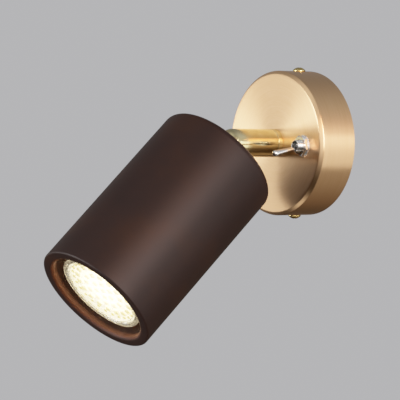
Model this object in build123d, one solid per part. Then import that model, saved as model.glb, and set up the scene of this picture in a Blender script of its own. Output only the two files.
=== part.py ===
from build123d import *
import math
import os

# A switched wall spotlight: a round cup on the wall, a short swivel arm, and a tilting
# cylindrical head with a GU10 lamp.  Millimetres.  The wall is the plane Y = 0, the light
# stands out towards -Y, and +Z is up.  The origin is the middle of the wall bracket's back.

# Fits
running_clearance = 0.05      # radial, turning shafts and pins, and screws in their threads
free_clearance = 0.3          # between pieces that pass each other
hole_clearance = 0.2          # radial, plain holes round a stem or a screw
face_clearance = 0.05         # between flat faces that turn on each other

# Wall cup
cup_diameter = 80.0
cup_depth = 24.0
cup_wall = 1.5
cup_edge_radius = 3.0
cup_inside_edge_radius = 1.5
cup_screw_height = 8.0        # from the wall
screw_diameter = 4.0          # cup screws and earth screw
screw_head_diameter = 7.0
screw_head_height = 2.2
screw_tip_length = 2.5        # past the tapped tab
cross_width = 0.9
cross_span = 3.8
cross_depth = 1.1

# Wall bracket
bracket_width = 14.0
bracket_thickness = 1.5
bracket_tab_length = 14.0
bracket_bend_radius = 1.5
bracket_slot_width = 4.6
bracket_slot_length = 12.0
bracket_slot_spacing = 44.0
bracket_cable_hole_diameter = 10.0
bracket_ear_height = 22.0
bracket_ear_corner_radius = 3.0
earth_screw_offset = 10.5     # below the middle
earth_lug_thickness = 0.8
earth_lug_diameter = 8.0
earth_barrel_length = 5.0
earth_barrel_wall = 0.5

# Terminal block
block_middle = 24.5           # left of the middle
block_width = 17.0
block_corner_radius = 1.5
block_base_height = 8.0
pole_count = 3
pole_pitch = 8.0
tower_diameter = 6.0
tower_height = 4.0
tower_spacing = 9.0
terminal_screw_diameter = 3.2
terminal_slot_width = 0.7
terminal_slot_depth = 0.8
block_screw_diameter = 2.8
block_screw_head_diameter = 3.6
block_screw_head_height = 1.4
lead_diameter = 1.8
lead_height = 5.5             # of the leads and the terminals' tunnels above the wall
lead_bend_radius = 4.0
live_lead_turn = 10.0         # right of the middle, where the live lead leaves its straight run
tag_run = 5.0                 # straight lead before the switch's upper tag
switched_lead_run = 10.0      # straight lead after the switch's lower tag
earth_lead_bend_radius = 1.8
earth_lead_slope = 3.6        # along the barrel, where the earth lead comes down to it

# Toggle switch
switch_edge_distance = 15.5   # from the cup's right side to the switch's axis
switch_up = -0.4
bushing_wall = 0.55
bushing_reach = 6.0           # past the cup's face
bushing_floor = 0.8
bushing_plate_thickness = 0.8
switch_washer_diameter = 12.2
switch_washer_thickness = 0.6
switch_nut_flats = 10.0
switch_nut_height = 2.2
switch_width = 7.9
switch_height = 13.0
switch_depth = 10.0
switch_edge_radius = 0.8
tag_spacing = 4.7
tag_width = 2.0
tag_thickness = 0.8
lever_pivot_depth = 1.0       # behind the cup's face
lever_length = 22.5           # from the pivot to the tip
lever_root_diameter = 1.5
lever_tip_diameter = 3.5
lever_throw = 23.0            # degrees between its two rests
lever_clearance = 0.1         # to the bushing's mouth at either rest

# Swivel
nipple_diameter = 10.0
nipple_bore_diameter = 6.8
nipple_engagement = 6.0       # thread inside the arm
seat_hub_wall = 0.75
seat_hub_height = 1.0
seat_flange_height = 2.2
seat_gap = 0.15               # between the seat and the turning arm
friction_washer_diameter = 16.6
friction_washer_thickness = 1.0
stop_washer_step = 0.7        # smaller in radius than the friction washer
stop_washer_thickness = 1.2
stop_tab_width = 2.0
stop_tab_overlap = 0.5        # past the stud
stop_stud_diameter = 1.6
stop_stud_gap = 0.4           # to the friction washer
nut_flats = 14.0
nut_height = 4.0
nut_thread_run = 1.3          # thread left past each nut

# Arm and knuckle
arm_diameter = 15.5
arm_wall = 1.2
pivot_reach = 30.0            # from the cup's face
bend_at_rest = 43.0           # degrees, head axis below the arm axis
bend_max = 70.0
neck_diameter = 8.0
pivot_pin_diameter = 3.0
pivot_head_diameter = 4.0
cable_diameter = 4.4
collar_diameter = 13.0
collar_height = 2.4
neck_gap = 1.85               # between the arm's round end and the collar

# Head
head_diameter = 70.0
head_length = 110.0
head_wall = 2.2
head_rear_wall = 3.5
head_rear_radius = 4.0
head_rim_radius = 1.0
mouth_wall = 6.1              # the shell's thickness at its mouth
mouth_length = 20.0
mouth_edge_radius = 2.0

# Lamp holder and its bracket
holder_bracket_margin = 1.0   # past the holder at each end
holder_bracket_breadth = 14.0
holder_bracket_thickness = 1.2
holder_bracket_bend_radius = 1.2
holder_foot_length = 8.0
knuckle_washer_diameter = 18.0
knuckle_washer_thickness = 1.0
holder_breadth = 18.0
holder_slab_height = 6.0
holder_boss_diameter = 23.6
holder_height = 17.0
holder_corner_radius = 4.0
holder_lip = 2.2
holder_pocket_depth = 6.0
holder_screw_margin = 0.8     # round the screw's head
holder_screw_diameter = 3.0
holder_screw_head_diameter = 5.4
holder_screw_head_height = 1.8

# Lamp
lamp_diameter = 50.0
lamp_length = 48.0            # without its pins
lamp_recess = 4.6             # from the rim to the lamp's front
lamp_neck_diameter = 20.0
lamp_neck_length = 14.0
lamp_neck_edge_radius = 1.0
lamp_rim_height = 3.0
lamp_rim_wall = 1.6
lamp_ledge = 1.0
lamp_waist_diameter = 23.0
lamp_bulge = 3.0              # of the flare past a straight cone
lamp_front_depth = 5.0        # from the lamp's front to its board's back
glass_thickness = 1.2
board_thickness = 1.2
chip_length = 3.5
chip_height = 1.3
chip_ring_pitch = 5.6
chip_rings = 3
chips_per_ring_step = 6
lamp_pin_spacing = 10.0
lamp_pin_diameter = 3.2
lamp_pin_head_diameter = 4.8
lamp_pin_shank_length = 3.0
lamp_pin_head_length = 3.4
lamp_twist = 25.0             # degrees from locked to released

# Places that follow from the sizes above
cup_radius = cup_diameter / 2
cup_inside_radius = cup_radius - cup_wall
cup_inside_height = cup_depth - cup_wall
screw_radius = screw_diameter / 2
thread_radius = screw_radius + running_clearance
lead_radius = lead_diameter / 2
cable_radius = cable_diameter / 2
cable_passage_radius = cable_radius + free_clearance
arm_radius = arm_diameter / 2
arm_cavity_radius = arm_radius - arm_wall
ball_radius = arm_cavity_radius - free_clearance
nipple_radius = nipple_diameter / 2
nipple_hole_radius = nipple_radius + running_clearance
pivot_height = cup_depth + pivot_reach
stop_stud_radius = friction_washer_diameter / 2 + stop_stud_gap + stop_stud_diameter / 2
stop_tab_reach = stop_stud_radius + stop_stud_diameter / 2 + stop_tab_overlap
seat_top = cup_depth + seat_hub_height + seat_flange_height
arm_foot = seat_top + seat_gap
nipple_top = arm_foot + nipple_engagement
friction_top = cup_inside_height - face_clearance
stop_washer_top = friction_top - friction_washer_thickness
nipple_nut_top = stop_washer_top - stop_washer_thickness
nipple_bottom = nipple_nut_top - nut_height - nut_thread_run
cable_bottom = nipple_bottom
lead_end = cable_bottom - free_clearance
head_rear_gap = arm_radius + neck_gap + collar_height
head_radius = head_diameter / 2
mouth_radius = head_radius - mouth_wall
head_front = head_rear_gap + head_length
head_floor = head_rear_gap + head_rear_wall
lamp_front = head_front - lamp_recess
lamp_back = lamp_front - lamp_length
holder_front = lamp_back - free_clearance
holder_back = holder_front - holder_height
holder_screw_place = (holder_boss_diameter + holder_screw_head_diameter) / 2 + holder_screw_margin
holder_length = 2 * holder_screw_place + holder_screw_head_diameter + 2 * holder_screw_margin
holder_bracket_width = holder_length + 2 * holder_bracket_margin
knuckle_washer_bottom = head_floor + holder_bracket_thickness
knuckle_nut_bottom = knuckle_washer_bottom + knuckle_washer_thickness
stem_top = knuckle_nut_bottom + nut_height + nut_thread_run
switch_across = cup_radius - switch_edge_distance
lever_pivot_height = cup_depth - lever_pivot_depth
lever_tilt = math.radians(lever_throw / 2)
lever_root_radius = lever_root_diameter / 2
lever_tip_radius = lever_tip_diameter / 2
lever_run = bushing_reach + lever_pivot_depth
lever_mouth_radius = lever_root_radius + (lever_tip_radius - lever_root_radius) * lever_run / lever_length
bushing_bore_radius = (
    lever_run * math.tan(lever_tilt) + lever_mouth_radius / math.cos(lever_tilt) + lever_clearance
)
bushing_radius = bushing_bore_radius + bushing_wall
lever_ball_radius = bushing_bore_radius - running_clearance
bushing_floor_height = lever_pivot_height - bushing_bore_radius
bushing_bottom = bushing_floor_height - bushing_floor
plate_bottom = cup_inside_height - bushing_plate_thickness
switch_bottom = plate_bottom - switch_depth
tag_bottom = lead_height - lead_radius
tab_reach = math.sqrt((cup_inside_radius - free_clearance) ** 2 - (bracket_width / 2) ** 2)
barrel_radius = lead_radius + running_clearance + earth_barrel_wall
barrel_start = screw_head_diameter / 2 + free_clearance
barrel_end = barrel_start + earth_barrel_length
block_length = pole_count * pole_pitch
block_top = bracket_thickness + block_base_height
tower_top = block_top + tower_height
terminal_x = tower_spacing / 2 - block_middle
tag_x = switch_across - tag_thickness / 2

# Three working frames: z runs out of the wall, along the head, and along the lever.
# In all three x points right and y points up.
wall_frame = Plane(origin=(0, 0, 0), x_dir=(1, 0, 0), z_dir=(0, -1, 0))
bend = math.radians(bend_at_rest)
head_frame = Plane(
    origin=(0, -pivot_height, 0),
    x_dir=(1, 0, 0),
    z_dir=(0, -math.cos(bend), -math.sin(bend)),
)
lever_frame = Plane(
    origin=(switch_across, -lever_pivot_height, switch_up),
    x_dir=(1, 0, 0),
    z_dir=(0, -math.cos(lever_tilt), -math.sin(lever_tilt)),
)
switch_place = Pos(switch_across, switch_up, 0)


# Shapes used by more than one piece
def rod(radius, low, high):
    """A round bar along z."""
    return Pos(0, 0, low) * extrude(Circle(radius), high - low)


def ring(radius, hole_radius, low, high):
    """A washer or tube along z."""
    return Pos(0, 0, low) * extrude(Circle(radius) - Circle(hole_radius), high - low)


def hex_nut(flats, hole_radius, low, high):
    """A plain hexagon nut along z, with its corners turned down."""
    prism = extrude(RegularPolygon(flats / 2, 6, major_radius=False), high - low)
    corner_radius = flats / 2 / math.cos(math.radians(30))
    turned = chamfer(rod(corner_radius, 0, high - low).edges(), (corner_radius - flats / 2) / 2)
    return Pos(0, 0, low) * (prism & turned) - rod(hole_radius, low, high)


def turned_solid(*lines):
    """Turn a closed outline of lines in (radius, height) round the z axis."""
    return revolve(Plane.XZ * make_face(lines), Axis.Z)


def domed_bar(radius, low, centre):
    """A round bar along z whose far end is a half ball about the given height."""
    return turned_solid(
        Line((0, low), (radius, low)),
        Line((radius, low), (radius, centre)),
        CenterArc((0, centre), radius, 0, 90),
        Line((0, centre + radius), (0, low)),
    )


def tilt_slot(radius, reach, degrees):
    """The room that a round bar along z needs to tip from +z towards -y about the x axis."""
    half = math.radians(degrees / 2)
    far = reach / math.cos(half)
    corners = [(0, 0)]
    for angle in (0, half, 2 * half):
        length = far if angle == half else reach
        corners.append((-length * math.sin(angle), length * math.cos(angle)))
    fan = extrude(Plane.YZ * make_face(Polyline(*corners, close=True)), radius, both=True)
    bar = rod(radius, 0, reach)
    return fan + bar + Rot(X=degrees) * bar


def cross_screw(radius, length, head_radius, head_height):
    """A round-head screw: its head stands on z = 0, and its shank runs down."""
    dome_radius = (head_radius ** 2 + head_height ** 2) / (2 * head_height)
    rim_angle = math.degrees(math.asin(head_radius / dome_radius))
    head = turned_solid(
        Line((0, 0), (head_radius, 0)),
        CenterArc((0, head_height - dome_radius), dome_radius, 90 - rim_angle, rim_angle),
        Line((0, head_height), (0, 0)),
    )
    size = 2 * head_radius / screw_head_diameter
    recess = Box(size * cross_width, size * cross_span, 2 * size * cross_depth)
    recess = Pos(0, 0, head_height) * recess
    return head + rod(radius, -length, 0) - recess - Rot(Z=90) * recess


def slotted_screw(radius, low, high):
    """A headless screw along z with a driver slot in its top."""
    slot = Pos(0, 0, high) * Box(4 * radius, terminal_slot_width, 2 * terminal_slot_depth)
    return rod(radius, low, high) - slot


def lead(points, radii):
    """A round insulated wire along straight runs joined by arcs."""
    path = FilletPolyline(*points, radius=radii)
    section = Plane(origin=path @ 0, z_dir=path % 0) * Circle(lead_radius)
    return sweep(section, path=path)


def both_sides(shape):
    """The shape and its half turn about z, as two separate solids."""
    return Compound(children=[shape, Rot(Z=180) * shape])


# Wall cup and what fixes it to the wall
def wall_cup():
    """A spun cup, open towards the wall, with holes for the nipple, the switch and two screws."""
    outside = rod(cup_radius, 0, cup_depth)
    outside = fillet(outside.edges().group_by(Axis.Z)[-1], cup_edge_radius)
    inside = rod(cup_inside_radius, 0, cup_inside_height)
    inside = fillet(inside.edges().group_by(Axis.Z)[-1], cup_inside_edge_radius)
    cup = outside - inside
    cup -= rod(nipple_radius + hole_clearance, 0, cup_depth)
    cup -= switch_place * rod(bushing_radius + hole_clearance, 0, cup_depth)
    return cup - cup_screw_hole(screw_radius + hole_clearance)


def cup_screw_hole(radius):
    """A bar right across the cup, along the two cup screws' axis."""
    return Pos(0, 0, cup_screw_height) * Rot(X=90) * Cylinder(radius, 2 * cup_diameter)


def wall_bracket():
    """A steel strap bent up at both ends, with wall slots, tapped tabs and a side ear."""
    inner_reach = tab_reach - bracket_thickness
    channel = Pos(0, bracket_tab_length / 2) * Rectangle(2 * tab_reach, bracket_tab_length)
    outer_corners = channel.vertices().group_by(Axis.Y)[0]
    channel = fillet(outer_corners, bracket_bend_radius + bracket_thickness)
    hollow = Rectangle(2 * inner_reach, bracket_tab_length)
    hollow = Pos(0, bracket_thickness + bracket_tab_length / 2) * hollow
    hollow = fillet(hollow.vertices().group_by(Axis.Y)[0], bracket_bend_radius)
    strap = extrude(Plane.YZ * (channel - hollow), bracket_width / 2, both=True)
    ear_length = block_middle + block_width / 2
    ear = Rectangle(ear_length, bracket_ear_height)
    ear = fillet(ear.vertices().group_by(Axis.X)[0], bracket_ear_corner_radius)
    strap += Pos(-ear_length / 2, 0, 0) * extrude(ear, bracket_thickness)
    slot = extrude(SlotOverall(bracket_slot_length, bracket_slot_width, rotation=90), bracket_thickness)
    for side in (-1, 1):
        strap -= Pos(0, side * bracket_slot_spacing / 2, 0) * slot
    strap -= rod(bracket_cable_hole_diameter / 2, 0, bracket_thickness)
    strap -= Pos(0, -earth_screw_offset, 0) * rod(thread_radius, 0, bracket_thickness)
    block_thread = rod(block_screw_diameter / 2 + running_clearance, 0, bracket_thickness)
    strap -= Pos(-block_middle, pole_pitch / 2, 0) * block_thread
    return strap - cup_screw_hole(thread_radius)


def cup_screws():
    """Two round-head screws through the cup's side, one at the top and one at the bottom."""
    length = cup_radius - tab_reach + bracket_thickness + screw_tip_length
    screw = cross_screw(screw_radius, length, screw_head_diameter / 2, screw_head_height)
    top = Pos(0, cup_radius, cup_screw_height) * Rot(X=-90) * screw
    return both_sides(top)


# Supply side inside the cup
def terminal_block():
    """A moulded pillar block on the bracket's ear, one tunnel and two towers to each pole."""
    base = Rectangle(block_width, block_length)
    block = extrude(fillet(base.vertices(), block_corner_radius), block_base_height)
    block = Pos(0, 0, bracket_thickness) * block
    tunnel = Rot(Y=90) * Cylinder(lead_radius + hole_clearance, block_width)
    for place in pole_places():
        block -= Pos(0, place, lead_height) * tunnel
    tower = rod(tower_diameter / 2, block_top, tower_top)
    well = rod(terminal_screw_diameter / 2 + running_clearance, lead_height, tower_top)
    for across, place in terminal_places():
        block += Pos(across, place, 0) * tower
        block -= Pos(across, place, 0) * well
    screw_hole = rod(block_screw_diameter / 2 + hole_clearance, bracket_thickness, block_top)
    block -= Pos(0, pole_pitch / 2, 0) * screw_hole
    return Pos(-block_middle, 0, 0) * block


def pole_places():
    """Heights of the poles along the block, from the middle."""
    return [(index - (pole_count - 1) / 2) * pole_pitch for index in range(pole_count)]


def terminal_places():
    """Middles of the towers, across and along the block."""
    return [(side * tower_spacing / 2, place) for place in pole_places() for side in (-1, 1)]


def terminal_screws():
    """The clamp screws in the block's towers."""
    low = lead_height + lead_radius + free_clearance
    screw = slotted_screw(terminal_screw_diameter / 2, low, tower_top - terminal_slot_depth)
    screws = [Pos(across - block_middle, place, 0) * screw for across, place in terminal_places()]
    return Compound(children=screws)


def block_screw():
    """The screw that holds the block on the bracket's ear."""
    screw = cross_screw(
        block_screw_diameter / 2, block_top, block_screw_head_diameter / 2, block_screw_head_height
    )
    return Pos(-block_middle, pole_pitch / 2, block_top) * screw


def earth_lug():
    """A ring lug under the earth screw, with a barrel for its lead."""
    lug = rod(earth_lug_diameter / 2, 0, earth_lug_thickness)
    neck = Box(barrel_start, lead_diameter, earth_lug_thickness)
    lug += Pos(-barrel_start / 2 - earth_barrel_wall, 0, earth_lug_thickness / 2) * neck
    along = Pos(0, 0, barrel_radius) * Rot(Y=-90)
    lug += along * rod(barrel_radius, barrel_start, barrel_end)
    lug -= along * rod(barrel_radius - earth_barrel_wall, barrel_start, barrel_end)
    lug -= rod(screw_radius + hole_clearance, 0, earth_lug_thickness)
    return Pos(0, -earth_screw_offset, bracket_thickness) * lug


def earth_screw():
    """A round-head screw that clamps the earth lug to the bracket."""
    screw = cross_screw(
        screw_radius, bracket_thickness + earth_lug_thickness, screw_head_diameter / 2, screw_head_height
    )
    return Pos(0, -earth_screw_offset, bracket_thickness + earth_lug_thickness) * screw


# Toggle switch
def switch_body():
    """The switch's moulded case, behind the cup's face."""
    case = fillet(Rectangle(switch_width, switch_height).vertices(), switch_edge_radius)
    case = Pos(0, 0, switch_bottom) * extrude(case, switch_depth)
    case -= rod(bushing_radius + running_clearance, bushing_bottom - running_clearance, plate_bottom)
    return switch_place * case


def switch_terminals():
    """Two solder tags on the back of the switch."""
    tag = Pos(0, tag_spacing / 2, tag_bottom) * extrude(
        Rectangle(tag_thickness, tag_width), switch_bottom - tag_bottom
    )
    return switch_place * both_sides(tag)


def switch_bushing():
    """The threaded bushing with its cover plate; its bore holds the lever's ball."""
    high = cup_depth + bushing_reach
    plate = extrude(Rectangle(switch_width, switch_height), bushing_plate_thickness)
    bushing = Pos(0, 0, plate_bottom) * plate + rod(bushing_radius, bushing_bottom, high)
    return switch_place * (bushing - rod(bushing_bore_radius, bushing_floor_height, high))


def switch_washer():
    """The plain washer under the switch nut."""
    low = cup_depth
    hole = bushing_radius + running_clearance
    return switch_place * ring(switch_washer_diameter / 2, hole, low, low + switch_washer_thickness)


def switch_nut():
    """The hexagon nut that clamps the switch to the cup."""
    low = cup_depth + switch_washer_thickness
    hole = bushing_radius + running_clearance
    return switch_place * hex_nut(switch_nut_flats, hole, low, low + switch_nut_height)


def toggle_lever():
    """A bat lever, thicker towards its round tip, with a pivot ball at its root."""
    tip_centre = lever_length - lever_tip_radius
    stalk = turned_solid(
        Line((0, 0), (lever_root_radius, 0)),
        Line((lever_root_radius, 0), (lever_tip_radius, tip_centre)),
        CenterArc((0, tip_centre), lever_tip_radius, 0, 90),
        Line((0, lever_length), (0, 0)),
    )
    return stalk + Sphere(lever_ball_radius)


# Leads inside the cup
def live_lead():
    """From the top pole to the switch's upper tag."""
    tag_y = switch_up + tag_spacing / 2
    points = [
        (terminal_x, pole_pitch, lead_height),
        (live_lead_turn, pole_pitch, lead_height),
        (tag_x - tag_run, tag_y, lead_height),
        (tag_x, tag_y, lead_height),
    ]
    return lead(points, [lead_bend_radius, lead_bend_radius])


def switched_lead():
    """From the switch's lower tag to the cable's end on the swivel axis."""
    tag_y = switch_up - tag_spacing / 2
    points = [
        (tag_x, tag_y, lead_height),
        (tag_x - switched_lead_run, tag_y, lead_height),
        (cable_radius / 2, 0, lead_height),
        (cable_radius / 2, 0, lead_end),
    ]
    return lead(points, [lead_bend_radius, (lead_end - lead_height) / 2])


def neutral_lead():
    """From the middle pole to the cable's end on the swivel axis."""
    points = [
        (terminal_x, 0, lead_height),
        (-cable_radius / 2, 0, lead_height),
        (-cable_radius / 2, 0, lead_end),
    ]
    return lead(points, [(lead_end - lead_height) / 2])


def earth_lead():
    """From the bottom pole to the earth lug's barrel."""
    barrel_height = bracket_thickness + barrel_radius
    points = [
        (terminal_x, -pole_pitch, lead_height),
        (-barrel_end - lead_radius - earth_lead_slope, -pole_pitch, lead_height),
        (-barrel_end - lead_radius, -earth_screw_offset, barrel_height),
        (-barrel_end + earth_barrel_length / 2, -earth_screw_offset, barrel_height),
    ]
    return lead(points, [earth_lead_bend_radius, earth_lead_bend_radius])


# Swivel
def swivel_seat():
    """The fixed ring that the arm turns on: a flange the arm's size on a smaller hub."""
    flange_low = cup_depth + seat_hub_height
    seat = rod(nipple_hole_radius + seat_hub_wall, cup_depth, flange_low)
    seat += rod(arm_radius, flange_low, seat_top)
    return seat - rod(nipple_hole_radius, cup_depth, seat_top)


def stop_stud():
    """A stud on the back of the cup's face, above the swivel axis, that ends the arm's turn."""
    low = stop_washer_top - stop_washer_thickness
    return Pos(0, stop_stud_radius, 0) * rod(stop_stud_diameter / 2, low, cup_inside_height)


def arm_nipple():
    """The hollow threaded tube that carries the arm through the cup's face."""
    return ring(nipple_radius, nipple_bore_diameter / 2, nipple_bottom, nipple_top)


def friction_washer():
    """The washer that rubs on the back of the cup's face."""
    low = friction_top - friction_washer_thickness
    return ring(friction_washer_diameter / 2, nipple_hole_radius, low, friction_top)


def stop_washer():
    """A washer with one tab, which meets the stop stud at either end of the turn."""
    low = stop_washer_top - stop_washer_thickness
    washer = rod(friction_washer_diameter / 2 - stop_washer_step, low, stop_washer_top)
    washer += Pos(0, -stop_tab_reach / 2, (low + stop_washer_top) / 2) * Box(
        stop_tab_width, stop_tab_reach, stop_washer_thickness
    )
    return washer - rod(nipple_hole_radius, low, stop_washer_top)


def nipple_nut():
    """The nut on the nipple's inner end."""
    return hex_nut(nut_flats, nipple_hole_radius, nipple_nut_top - nut_height, nipple_nut_top)


# Arm and knuckle
def arm_tube():
    """A hollow arm with a half-ball end, slotted from its tip down to let the neck tilt."""
    arm = domed_bar(arm_radius, arm_foot, pivot_height)
    arm -= domed_bar(arm_cavity_radius, nipple_top, pivot_height)
    arm -= rod(nipple_hole_radius, arm_foot, nipple_top)
    slot = tilt_slot(neck_diameter / 2 + free_clearance, arm_diameter, bend_max)
    pin_hole = Rot(Y=90) * Cylinder(pivot_head_diameter / 2 + running_clearance, 2 * arm_diameter)
    return arm - Pos(0, 0, pivot_height) * (slot + pin_hole)


def pivot_pins():
    """Two stepped pins, ground flush with the arm's sides, whose tips the knuckle turns on."""
    shoulder = ball_radius + free_clearance / 2
    tip = cable_passage_radius + 2 * free_clearance
    pin = rod(pivot_head_diameter / 2, shoulder, arm_diameter) + rod(pivot_pin_diameter / 2, tip, shoulder)
    pin = Pos(0, 0, pivot_height) * Rot(Y=90) * pin
    return both_sides(pin & domed_bar(arm_radius, arm_foot, pivot_height))


def arm_cable():
    """The cable through the nipple and the arm, up to the tilt axis."""
    return domed_bar(cable_radius, cable_bottom, pivot_height)


def knuckle():
    """A hollow ball, neck, collar and stem in one piece; the ball is slotted for the cable."""
    collar_low = head_rear_gap - collar_height
    body = Sphere(ball_radius) + rod(neck_diameter / 2, 0, collar_low)
    body += rod(collar_diameter / 2, collar_low, head_rear_gap)
    body += rod(nipple_radius, head_rear_gap, stem_top)
    body -= rod(cable_passage_radius, 0, stem_top)
    fan = tilt_slot(cable_passage_radius, arm_diameter, bend_max)
    body -= Rot(X=180) * mirror(fan, Plane.XZ)
    pin_hole = Rot(Y=90) * Cylinder(pivot_pin_diameter / 2 + running_clearance, 2 * arm_diameter)
    return body - pin_hole


# Head
def head_shell():
    """A deep round shell: thin walls, a thick plain mouth and a closed rear wall."""
    shell = rod(head_radius, head_rear_gap, head_front)
    shell = fillet(shell.edges().group_by(Axis.Z)[0], head_rear_radius)
    shell = fillet(shell.edges().group_by(Axis.Z)[-1], head_rim_radius)
    shell -= rod(mouth_radius, head_floor, head_front)
    mouth_edge = shell.edges().group_by(Axis.Z)[-1].sort_by(SortBy.RADIUS)[0]
    shell = fillet(mouth_edge, mouth_edge_radius)
    shell -= rod(head_radius - head_wall, head_floor, head_front - mouth_length)
    return shell - rod(nipple_radius + hole_clearance, head_rear_gap, head_floor)


def holder_bracket():
    """A strap bent into a C: clamped by the knuckle's nut, with two feet for the lamp holder."""
    height = holder_back - head_floor
    thickness = holder_bracket_thickness
    outline = Rectangle(holder_bracket_width, height)
    outline = fillet(outline.vertices(), holder_bracket_bend_radius + thickness)
    hollow = Rectangle(holder_bracket_width - 2 * thickness, height - 2 * thickness)
    hollow = fillet(hollow.vertices(), holder_bracket_bend_radius)
    gap = Pos(0, height / 2) * Rectangle(holder_bracket_width - 2 * holder_foot_length, height)
    strap = extrude(Plane.XZ * (outline - hollow - gap), holder_bracket_breadth / 2, both=True)
    strap = Pos(0, 0, (head_floor + holder_back) / 2) * strap
    strap -= rod(nipple_radius + hole_clearance, head_floor, head_floor + thickness)
    for side in (-1, 1):
        thread = rod(holder_screw_diameter / 2 + running_clearance, holder_back - thickness, holder_back)
        strap -= Pos(side * holder_screw_place, 0, 0) * thread
    return strap


def knuckle_washer():
    """The washer under the knuckle's nut."""
    hole = nipple_radius + hole_clearance
    return ring(knuckle_washer_diameter / 2, hole, knuckle_washer_bottom, knuckle_nut_bottom)


def knuckle_nut():
    """The nut on the knuckle's stem."""
    return hex_nut(nut_flats, nipple_hole_radius, knuckle_nut_bottom, knuckle_nut_bottom + nut_height)


def lamp_holder():
    """A ceramic holder: a slab with two screw holes, and a boss with two bayonet pockets."""
    slab = fillet(Rectangle(holder_length, holder_breadth).vertices(), holder_corner_radius)
    body = Pos(0, 0, holder_back) * extrude(slab, holder_slab_height)
    body += rod(holder_boss_diameter / 2, holder_back, holder_front)
    head = lamp_pin_head_diameter / 2 + hole_clearance
    shank = lamp_pin_diameter / 2 + hole_clearance
    lip_low = holder_front - holder_lip
    for side in (0, 180):
        body -= Rot(Z=side) * pin_sweep(head, lip_low - holder_pocket_depth, lip_low)
        body -= Rot(Z=side) * pin_sweep(shank, lip_low, holder_front)
        body -= Rot(Z=side + lamp_twist) * pin_place() * rod(head, lip_low, holder_front)
        screw_hole = rod(holder_screw_diameter / 2 + hole_clearance, holder_back, holder_front)
        body -= Rot(Z=side) * Pos(holder_screw_place, 0, 0) * screw_hole
    return body


def pin_place():
    """The middle of one lamp pin."""
    return Pos(lamp_pin_spacing / 2, 0, 0)


def pin_sweep(radius, low, high):
    """The room a lamp pin needs as the lamp twists from locked to released."""
    path_radius = lamp_pin_spacing / 2
    band = Circle(path_radius + radius) - Circle(path_radius - radius)
    reach = 2 * lamp_pin_spacing
    twist = math.radians(lamp_twist)
    sector = make_face(
        Polyline((0, 0), (reach, 0), (reach * math.cos(twist), reach * math.sin(twist)), close=True)
    )
    end = pin_place() * Circle(radius)
    kidney = (band & sector) + end + Rot(Z=lamp_twist) * end
    return Pos(0, 0, low) * extrude(kidney, high - low)


def holder_screws():
    """Two screws through the lamp holder's slab into the bracket's feet."""
    seat = holder_back + holder_slab_height
    screw = cross_screw(
        holder_screw_diameter / 2,
        holder_slab_height + holder_bracket_thickness,
        holder_screw_head_diameter / 2,
        holder_screw_head_height,
    )
    return both_sides(Pos(holder_screw_place, 0, seat) * screw)


def head_cable():
    """The cable through the knuckle, from just past the tilt axis to the stem's end."""
    return rod(cable_radius, cable_radius + free_clearance, stem_top)


def head_leads():
    """Two leads from the cable's end to the back of the lamp holder."""
    run = (holder_back - stem_top) / 3
    near = cable_radius / 2
    far = lamp_pin_spacing / 2
    points = [
        (near, 0, stem_top),
        (near, 0, stem_top + run),
        (far, 0, holder_back - run),
        (far, 0, holder_back),
    ]
    return both_sides(lead(points, [lead_bend_radius, lead_bend_radius]))


# Lamp
def lamp_reflector():
    """The lamp's flared body with its rim, a ledge for the glass and a floor for the board."""
    rim_low = lamp_front - lamp_rim_height
    rim = lamp_diameter / 2
    waist = lamp_waist_diameter / 2
    neck_top = lamp_back + lamp_neck_length
    belly = ((waist + rim + lamp_bulge) / 2, (neck_top + rim_low) / 2 - lamp_bulge)
    body = turned_solid(
        Line((0, neck_top), (waist, neck_top)),
        ThreePointArc((waist, neck_top), belly, (rim - lamp_ledge / 2, rim_low)),
        Line((rim - lamp_ledge / 2, rim_low), (rim, rim_low)),
        Line((rim, rim_low), (rim, lamp_front)),
        Line((rim, lamp_front), (0, lamp_front)),
        Line((0, lamp_front), (0, neck_top)),
    )
    body -= rod(rim - lamp_rim_wall, lamp_front - glass_thickness, lamp_front)
    return body - rod(rim - lamp_rim_wall - lamp_ledge, lamp_front - lamp_front_depth, lamp_front)


def lamp_base():
    """The lamp's insulated neck, which sits in front of the holder."""
    neck = rod(lamp_neck_diameter / 2, lamp_back, lamp_back + lamp_neck_length)
    return fillet(neck.edges().group_by(Axis.Z)[0], lamp_neck_edge_radius)


def lamp_pins():
    """The two headed pins of the twist-lock base."""
    head_high = lamp_back - lamp_pin_shank_length
    pin = rod(lamp_pin_diameter / 2, head_high, lamp_back)
    pin += rod(lamp_pin_head_diameter / 2, head_high - lamp_pin_head_length, head_high)
    return both_sides(pin_place() * pin)


def lamp_glass():
    """The clear front glass, on the reflector's ledge."""
    radius = lamp_diameter / 2 - lamp_rim_wall - running_clearance
    return rod(radius, lamp_front - glass_thickness, lamp_front)


def led_board():
    """The round board that carries the chips."""
    low = lamp_front - lamp_front_depth
    radius = lamp_diameter / 2 - lamp_rim_wall - lamp_ledge - running_clearance
    return rod(radius, low, low + board_thickness)


def led_chips():
    """Square chips on rings round one in the middle."""
    low = lamp_front - lamp_front_depth + board_thickness
    chip = Pos(0, 0, low + chip_height / 2) * Box(chip_length, chip_length, chip_height)
    chips = [chip]
    for step in range(1, chip_rings + 1):
        count = chips_per_ring_step * step
        for index in range(count):
            chips.append(Rot(Z=360 * index / count) * Pos(chip_ring_pitch * step, 0, 0) * chip)
    return Compound(children=chips)


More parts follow.
